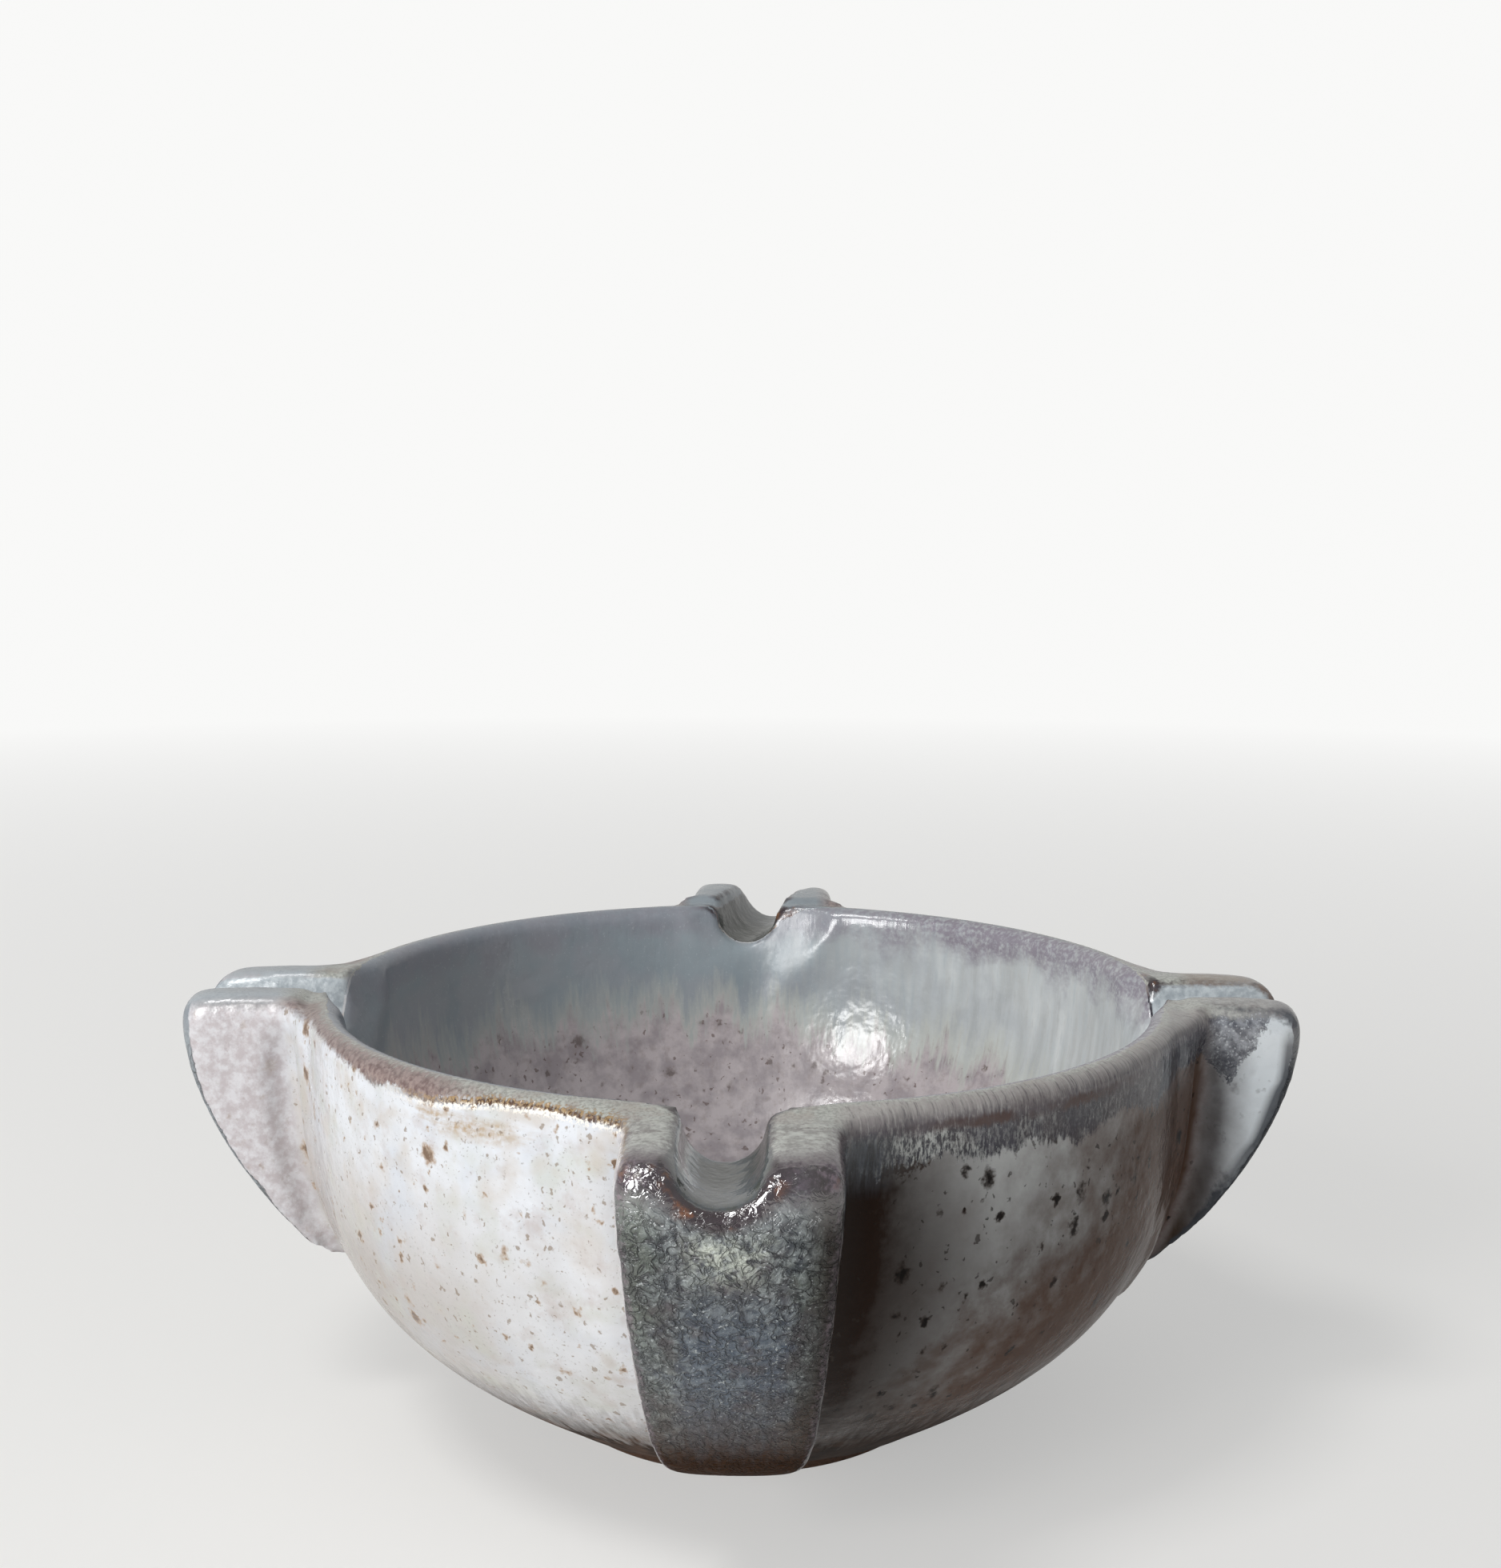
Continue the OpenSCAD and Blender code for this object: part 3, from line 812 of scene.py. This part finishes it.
hung = tinted(
    tree, "#2b2d34",
    ("#b2b4b1", 1, (dashes, 0.44, 0.6)),
    ("#3d3a45", 0.6, (mottle, 0.47, 0.58)),
    ("#c2c4bf", 0.6, (dust, 0.63, 0.73)),
    ("#2d2832", 0.85, (grain, 0.3, 0.6, 0.4), (x, 25, 45)),
    (tinted(tree, pale_hung, (dark_hung, right_lug)), on_lug),
    (mauve, on_wall, (rim_edge, 4.2, 3)),
)

# Outside: white, thin and brown towards the foot and darker there on the shaded side as painted
# shade, then the band, a red seam in it on the shaded side, and painted shade in the cove beside
# the front lug. The seam's fade along x is laid twice, to be steep.
to_foot = shifted(tree, z, (streak_sway, 15))
thin_glaze = add(tree, "MapRange", [to_foot, 24, 12])
brown = tinted(
    tree, "#5f4a3d",
    ("#2f231b", 1, (mottle, 0.42, 0.58)),
    # Darker on the shaded side: painted shade.
    ("#241a14", 0.7, (shaded_side, 0, 1)),
)
seam = shifted(tree, add(tree, "Math", [depth, 3.4], operation="SUBTRACT"), (fur_sway, 2))
seam = add(tree, "Math", [seam], operation="ABSOLUTE")
cove_shade = tinted(tree, "#1b1e24", ("#454b54", 1, (fur, 0.4, 0.62)))
outside = tinted(
    tree, white,
    (brown, thin_glaze),
    (hung, 1, (past_band, 0.4, -0.4)),
    (
        "#452e28", 1, (x, 62, 54), (seam, 1.1, 0.4), (blotch, 0.4, 0.55, 0.2),
        (x, 20, 32), (front, 0, 1), (x, 62, 54),
    ),
    (cove_shade, front, (x, 22, 18), (x, 10, 12.5), (depth, 12, 7), (depth, 2.5, 4.5)),
)

# Dark grey and crystalline on the faces of the lugs, with worm-like ridges, a celadon patch under
# the notch, purple and rust round its mouth, and brown towards the lower end. Pale flecks on it are
# painted glints, and painted shade runs down the front lug's right edge.
crystal_look = {"Vector": place, "Scale": 1 / 1.4, "Detail": 4, "Roughness": 0.6, "Distortion": 0.7}
crystal = add(tree, "TexNoise", crystal_look)
worms = add(tree, "TexNoise", {"Vector": place, "Scale": 1 / 2, "Detail": 3, "Distortion": 1.0})
ridges = add(tree, "Math", [worms, 0.5], operation="SUBTRACT")
ridges = add(tree, "Math", [ridges], operation="ABSOLUTE")
ridges = add(tree, "MapRange", [ridges, 0, 0.07])
run_flow = add(tree, "VectorMath", [place, (1, 1, 0.45)], operation="MULTIPLY")
runs = add(tree, "TexNoise", [run_flow, 1 / 5, 3, 0.6])
aside = shifted(tree, across, (mottle_sway, 15))
mouth_brown = tinted(tree, "#34272d", ("#564953", 1, (grain, 0.42, 0.6)))
mouth_edge = shifted(tree, near_notch, (mottle_sway, 0.2))
rust = add(tree, "TexNoise", [place, 1 / 4.2, 3])
to_side = add(tree, "Math", [x, add(tree, "MapRange", [z, 48, 18, 0, 3.5])], operation="ADD")
stone = tinted(
    tree, "#3c4147",
    ("#858b8c", 1, (crystal, 0.42, 0.63)),
    ("#3c383e", 0.8, (runs, 0.5, 0.62)),
    ("#485769", 0.6, (depth, 16, 24), (aside, 8, 4)),
    ("#6b7566", 0.5, (blotch, 0.38, 0.58, 0.1), (aside, 7, 10.5)),
    ("#4c4247", 0.6, (mottle, 0.54, 0.66)),
    (
        "#d2d8cb", 0.9, (depth, 18, 12), (depth, 8.5, 11), (mottle, 0.38, 0.54),
        (aside, 7, 3), (marbling, 0.4, 0.52),
    ),
    ("#2b2a31", 0.75, (depth, 36, 20, 0.1), (blotch, 0.38, 0.6, 0.1), (ridges, 0.5, 0.05)),
    # Pale flecks: painted glints.
    ("#b9bfc0", 0.75, (dust, 0.62, 0.7)),
    (mouth_brown, 0.85, (depth, 7, 3.5)),
    ("#33262b", 0.95, (mouth_edge, 0.1, 0.2)),
    ("#7a4a2a", 0.9, (dust, 0.35, 0.55, 0.4), (rust, 0.6, 0.66), (near_notch, 0.12, 0.26)),
    # Painted shade down the front lug's right edge.
    ("#2a211c", 0.9, (front, 0, 1), (to_side, 8.5, 12)),
    ("#969da3", 0.8, (left_lug, 0, 1)),
    ("#38210f", 1, (to_foot, 38, 22)),
)
on_face = add(tree, "MapRange", [shifted(tree, face, (mottle_sway, 1.0)), 0.4, 0.55])

# Grey-green on the ears and along the top of the rim, mauve along its outer edge.
ears = add(tree, "MapRange", [reach, 72, 76])
ear_tinge = tinted(tree, "#7c7780", ("#856a52", 1, (y, 5, 8)))
mossy = tinted(
    tree, "#c3c5bd",
    ("#76726d", 1, (marbling, 0.4, 0.6)),
    ("#5b4f55", 1, (reach, 83, 87)),
    (ear_tinge, 0.75, (y, 5, 8, 0.4), (right_lug, 0, 1)),
    ("#a9b0b7", left_lug),
)
outer_half = shifted(tree, reach, (fur_sway, 2.5), (grain_sway, 3))
green = tinted(
    tree, "#b9bab2",
    ("#979891", 1, (dust, 0.42, 0.62)),
    ("#a0968d", 0.5, (mottle, 0.47, 0.58)),
    (mossy, 0.75, (ears, 0, 1)),
    ("#8f979c", 1, (y, 10, 50)),
    (
        mauve, 0.9, (across, 12.5, 15.5), (outer_half, 68.4, 69.5),
        (right_lug, 1, 0), (bare_rim, 1, 0),
    ),
)
upward = shifted(tree, depth, (dust_sway, 2), (mottle_sway, 2.5))

# A thin line of gold and dark brown where the glaze breaks over the lip on the lit left side, with
# a row of painted highlights below it. The gold's fade at its right end is laid twice, to be steep.
break_line = shifted(tree, depth, (bare_rim, 1.6), (fur_sway, 0.7), (dust_sway, 1.6))
below_break = [add(tree, "Math", [break_line, at], operation="SUBTRACT") for at in (2.9, 3.7)]
off_gold, off_highlight = [add(tree, "Math", [below], operation="ABSOLUTE") for below in below_break]
gilt = tinted(tree, "#553c2a", ("#a88d66", 1, (dust, 0.44, 0.58)))

# The notches' floors are grey-green at the front, and pale blue-white in the side lugs.
pale = tinted(tree, "#c3cacd", ("#a3abb0", 1, (marbling, 0.4, 0.6)))
trough = tinted(
    tree, "#474943",
    ("#3a3c36", 1, (marbling, 0.4, 0.6)),
    ("#666c62", 0.7, (x, 2, 6)),
    ("#4f5457", 0.8, (grain, 0.4, 0.55, 0.2), (reach, 78, 83)),
    (pale, 1, (aside_x, 50, 60)),
)
outside = tinted(
    tree, outside,
    (stone, on_face),
    (green, 1, (upward, 1.8, 0.7)),
    ("#fbf3e6", front, (dust, 0.45, 0.55), (off_highlight, 0.6, 0.2), (x, -10, -15), (x, -50, -38)),
    (
        gilt, front, (x, -10, -15), (x, -50, -38), (fur, 0.3, 0.5, 0.5),
        (off_gold, 0.6, 0.25), (front, 0, 1), (x, -10, -15),
    ),
    ("#2a1c1b", 0.92, (near_face, 0.06, 0.16), (notch, 0.04, 0.16), (left_lug, 1, 0)),
    (trough, 1, (notch, 0.38, 0.62)),
)

# Slate blue inside, running down in drips with milky ends over a pinkish, speckled floor.
base = tinted(
    tree, "#bfb6b7",
    ("#a0979a", 1, (mottle, 0.42, 0.62)),
    ("#8a7c76", 0.35, (marbling, 0.52, 0.68)),
    ("#77685f", 0.3, (halo, 0, 1)),
    ("#4e3d36", 0.6, (core, 0, 1)),
    ("#5f4a42", 0.7, (fine_dots, 0, 1)),
)
ends_at = add(tree, "Math", [z, add(tree, "MapRange", [x, -10, 40, -1, 4])], operation="ADD")
ends_at = shifted(tree, ends_at, (streak_sway, 16), (fur_sway, 8), (broad_sway, 19))
below_lip = shifted(tree, depth, (blotch_sway, 15))
slate = tinted(
    tree, "#8b939b",
    ("#a0a7ac", 1, (clouds, 0.38, 0.62)),
    # Lighter on the left: painted light where the wall lies in shade.
    ("#a1a7ac", 0.8, (x, 5, -45)),
    ("#83979e", 0.4, (blotch, 0.42, 0.6)),
    # Lighter and streaky to the right: milky runs, lightened further as painted light.
    ("#d6dad9", 1, (blotch, 0.34, 0.56, 0.6), (streaks, 0.34, 0.62, 0.55), (x, -5, 45)),
    ("#9fa2a1", 0.5, (x, -5, 45, 0.1), (washes, 0.44, 0.6)),
    ("#827885", 0.8, (grain, 0.34, 0.56, 0.3), (x, 5, 35, 0.3), (below_lip, 7.5, 3.5)),
    ("#c3c9cb", 0.35, (dust, 0.63, 0.73)),
    ("#c4c6bb", 0.65, (x, -30, 10, 0.5), (ends_at, 55, 48)),
)
hollow_coat = tinted(tree, base, (slate, 1, (ends_at, 44.5, 49.5)))

# It breaks over every sharp edge: purple-brown, rust where sharpest, slate on the right lug.
thin = shifted(tree, edge, (grain_sway, 0.2))
strong = shifted(tree, face, (near_notch, 2))
on_right = add(tree, "MapRange", [right_lug, 0, 1, 0, 0.6])
strong = add(tree, "Math", [strong, on_right], operation="MAXIMUM")
strong = add(tree, "MapRange", [shifted(tree, strong, (on_lug, 0.2)), 0.1, 0.6, 0.3, 0.95])
strong = add(tree, "MapRange", [left_lug, 0, 1, strong, 0.15])
worn = tinted(
    tree, "#43363e",
    ("#796a73", 1, (grain, 0.42, 0.6)),
    ("#2b1f22", 0.85, (near_notch, 0.1, 0.2)),
    ("#8b9299", 1, (x, -60, -70)),
    (tinted(tree, "#45484e", ("#6e5646", 1, (y, 2, 6))), right_lug),
)
# A dark line along the right lug's outer edge, fading lower down: the glaze breaking, darkened as
# painted shade.
outline = add(tree, "MapRange", [right_lug, 0, 1, 0, 0.9])
outline = add(tree, "MapRange", [near_face, 0.1, 0.3, 0, outline])
high_up = add(tree, "MapRange", [z, 34, 48, 0.3, 1])
outline = add(tree, "Math", [outline, high_up], operation="MULTIPLY")
under = add(tree, "MapRange", [z, 5.2, 4.4])
wiped_foot = tinted(tree, "#4a3528", ("#33251d", 1, (mottle, 0.42, 0.58)))
body = tinted(
    tree, outside,
    (hollow_coat, 1, (shifted(tree, inside, (fur_sway, 0.75)), 0.48, 0.72)),
    (worn, strong, (thin, 0.16, 0.27)),
    ("#484b51", outline, (depth, 3, 6)),
    ("#77502f", strong, (right_lug, 1, 0), (mottle, 0.52, 0.6), (thin, 0.25, 0.35)),
    (wiped_foot, under),
)
tree.links.new(body, coat.inputs["Base Color"])

# Glassy where it is thick, and dry on the faces' lower ends and towards the foot.
coat.inputs["IOR"].default_value = 1.65
ear_tips = add(tree, "MapRange", [depth, 10, 6, 0, add(tree, "MapRange", [reach, 78, 84])])
blurred = add(tree, "MapRange", [x, 8, 16, add(tree, "MapRange", [y, 40, 55, 0.05, 0.22]), 0.04])
matt = shifted(
    tree, add(tree, "MapRange", [mottle, 0.3, 0.7, 0.1, 0.2]),
    (on_face, add(tree, "MapRange", [depth, 6, 14, 0, 0.12])),
    (ear_tips, -0.08), (left_lug, 0.16), (inside, blurred),
)
dry = add(tree, "MapRange", [z, 34, 22, 0, on_face])
dry = add(tree, "Math", [dry, thin_glaze], operation="MAXIMUM")
for thin_part, bare_matt in ((dry, 0.6), (under, 0.8)):
    least = add(tree, "Math", [thin_part, bare_matt], operation="MULTIPLY")
    matt = add(tree, "Math", [matt, least], operation="MAXIMUM")
tree.links.new(matt, coat.inputs["Roughness"])
dull = add(tree, "MapRange", [inside, 0.9, 0.4, 0, shaded_side])
dull = add(tree, "MapRange", [x, 4, 8, 0, add(tree, "MapRange", [depth, 5, 11, 0, dull])])
dry = add(tree, "Math", [dry, dull], operation="MAXIMUM")
wet_ears = add(tree, "MapRange", [left_lug, 1, 0, 0, ear_tips])
shine = shifted(tree, add(tree, "MapRange", [dry, 0, 1, 0.5, 0.05]), (wet_ears, 0.8))
tree.links.new(shine, coat.inputs["Specular IOR Level"])

# The crystals, ridges, fur and grit stand up in it, on the faces most, and it lies in soft lumps.
lumps = add(tree, "TexNoise", [place, 1 / 3.4])
lump_height = add(tree, "MapRange", [inside, 0, 1, 0.45, 0.3])
ridge_height, crystal_height = [
    add(tree, "MapRange", [on_face, 0, 1, 0, add(tree, "MapRange", [depth, 6, 12, 0.06, full])])
    for full in (0.65, 1.2)
]
height = shifted(
    tree, add(tree, "Math", [lumps, lump_height], operation="MULTIPLY"),
    (grain, add(tree, "MapRange", [inside, 0, 1, 0.08, 0.03])),
    (ridges, ridge_height),
    (crystal, crystal_height),
    (fur, add(tree, "MapRange", [depth, 6, 1, 0, 0.08])),
    (marbling, add(tree, "MapRange", [wet_ears, 0, 1, 0, 0.05])),
    (streaks, add(tree, "MapRange", [inside, 0, 1, 0, 0.05])),
)
bump = add(tree, "Bump", {"Strength": 1.0, "Distance": 0.6 * MM, "Height": height})
tree.links.new(bump, coat.inputs["Normal"])

for name in ["bowl"] + list(lugs):
    piece = bpy.data.objects[name + "_glazed"]
    piece.data.materials.clear()
    piece.data.materials.append(glaze)
    bpy.ops.object.select_all(action="DESELECT")
    piece.select_set(True)
    bpy.context.view_layer.objects.active = piece
    bpy.ops.object.shade_smooth_by_angle(angle=math.radians(50))

# ---------------------------------------------------------------------------------------------
# The setting: a pale paper sweep on a table, a large soft window in front and to the left,
# and the even light of a white room. Its sizes are in metres.
# ---------------------------------------------------------------------------------------------
sheet_w, sheet_d, sheet_up = 5, 2.4, 2.5
bend_steps, bend_step = 12, 0.09
bpy.ops.object.select_all(action="DESELECT")
bpy.ops.mesh.primitive_plane_add(size=1, location=(0, 0, 0))
sweep = bpy.context.object
sweep.name = "paper_sweep"
sweep.scale = (sheet_w, sheet_d, 1)
bpy.ops.object.transform_apply(location=True, rotation=False, scale=True)
select_where(sweep, "EDGE", lambda spot: spot.y > 1)
for i in range(bend_steps):
    lean = math.radians(90 / bend_steps * (i + 0.5))
    step = (0, bend_step * math.cos(lean), bend_step * math.sin(lean))
    bpy.ops.mesh.extrude_region_move(TRANSFORM_OT_translate={"value": step})
bpy.ops.mesh.extrude_region_move(TRANSFORM_OT_translate={"value": (0, 0, sheet_up)})
bpy.ops.object.mode_set(mode="OBJECT")
bpy.ops.object.shade_smooth()

# Matt paper shows no reflection. It takes a soft shadow close to the bowl, glows evenly white to
# the eye beyond that, and is dimmer in the glaze.
paper = bpy.data.materials.new("matt_white_paper")
paper.use_nodes = True
tree = paper.node_tree
fibres = tree.nodes["Principled BSDF"]
fibres.inputs["Base Color"].default_value = colour("#eceae6")
fibres.inputs["Roughness"].default_value = 0.7
glow = add(tree, "Emission", ["#fbfbfa", 1.0])
seen = add(tree, "LightPath", []).node.outputs
mirrored = add(tree, "Math", [seen["Is Glossy Ray"], 0.4], operation="MULTIPLY")
bright = add(tree, "Math", [seen["Is Camera Ray"], mirrored], operation="MAXIMUM")
metres = add(tree, "TexCoord", []).node.outputs["Object"]
away = add(tree, "VectorMath", [metres], operation="LENGTH")
further = add(tree, "MapRange", [away, 0.15, 1.2, 0.45, 0.97])
bright = add(tree, "Math", [bright, further], operation="MULTIPLY")
both = add(tree, "MixShader", [bright, fibres.outputs["BSDF"], glow])
tree.links.new(both, tree.nodes["Material Output"].inputs["Surface"])
sweep.data.materials.append(paper)

room = bpy.data.worlds.new("white_room")
bpy.context.scene.world = room
room.use_nodes = True
air = room.node_tree.nodes["Background"]
air.inputs["Color"].default_value = colour("#f4f7fb")
seen = add(room.node_tree, "LightPath", []).node.outputs
strength = add(room.node_tree, "MapRange", [seen["Is Camera Ray"], 0, 1, 0.31, 0.97])
room.node_tree.links.new(strength, air.inputs["Strength"])
for name, towards, off, wide, watts in (
    ("window", (-0.575, -0.736, 0.358), 1.12, 0.34, 7.2),
    ("skylight", (-0.36, -0.32, 0.88), 1.1, 0.28, 3.5),
):
    lamp = bpy.data.objects.new(name, bpy.data.lights.new(name, "AREA"))
    lamp.data.size = wide
    lamp.data.energy = watts
    lamp.location = Vector(towards) * off
    lamp.rotation_euler = (-lamp.location).to_track_quat("-Z", "Y").to_euler()
    bpy.context.scene.collection.objects.link(lamp)
bpy.data.lights["window"].shape = "RECTANGLE"
bpy.data.lights["window"].size_y = 0.56

bpy.context.scene.view_settings.view_transform = "Standard"
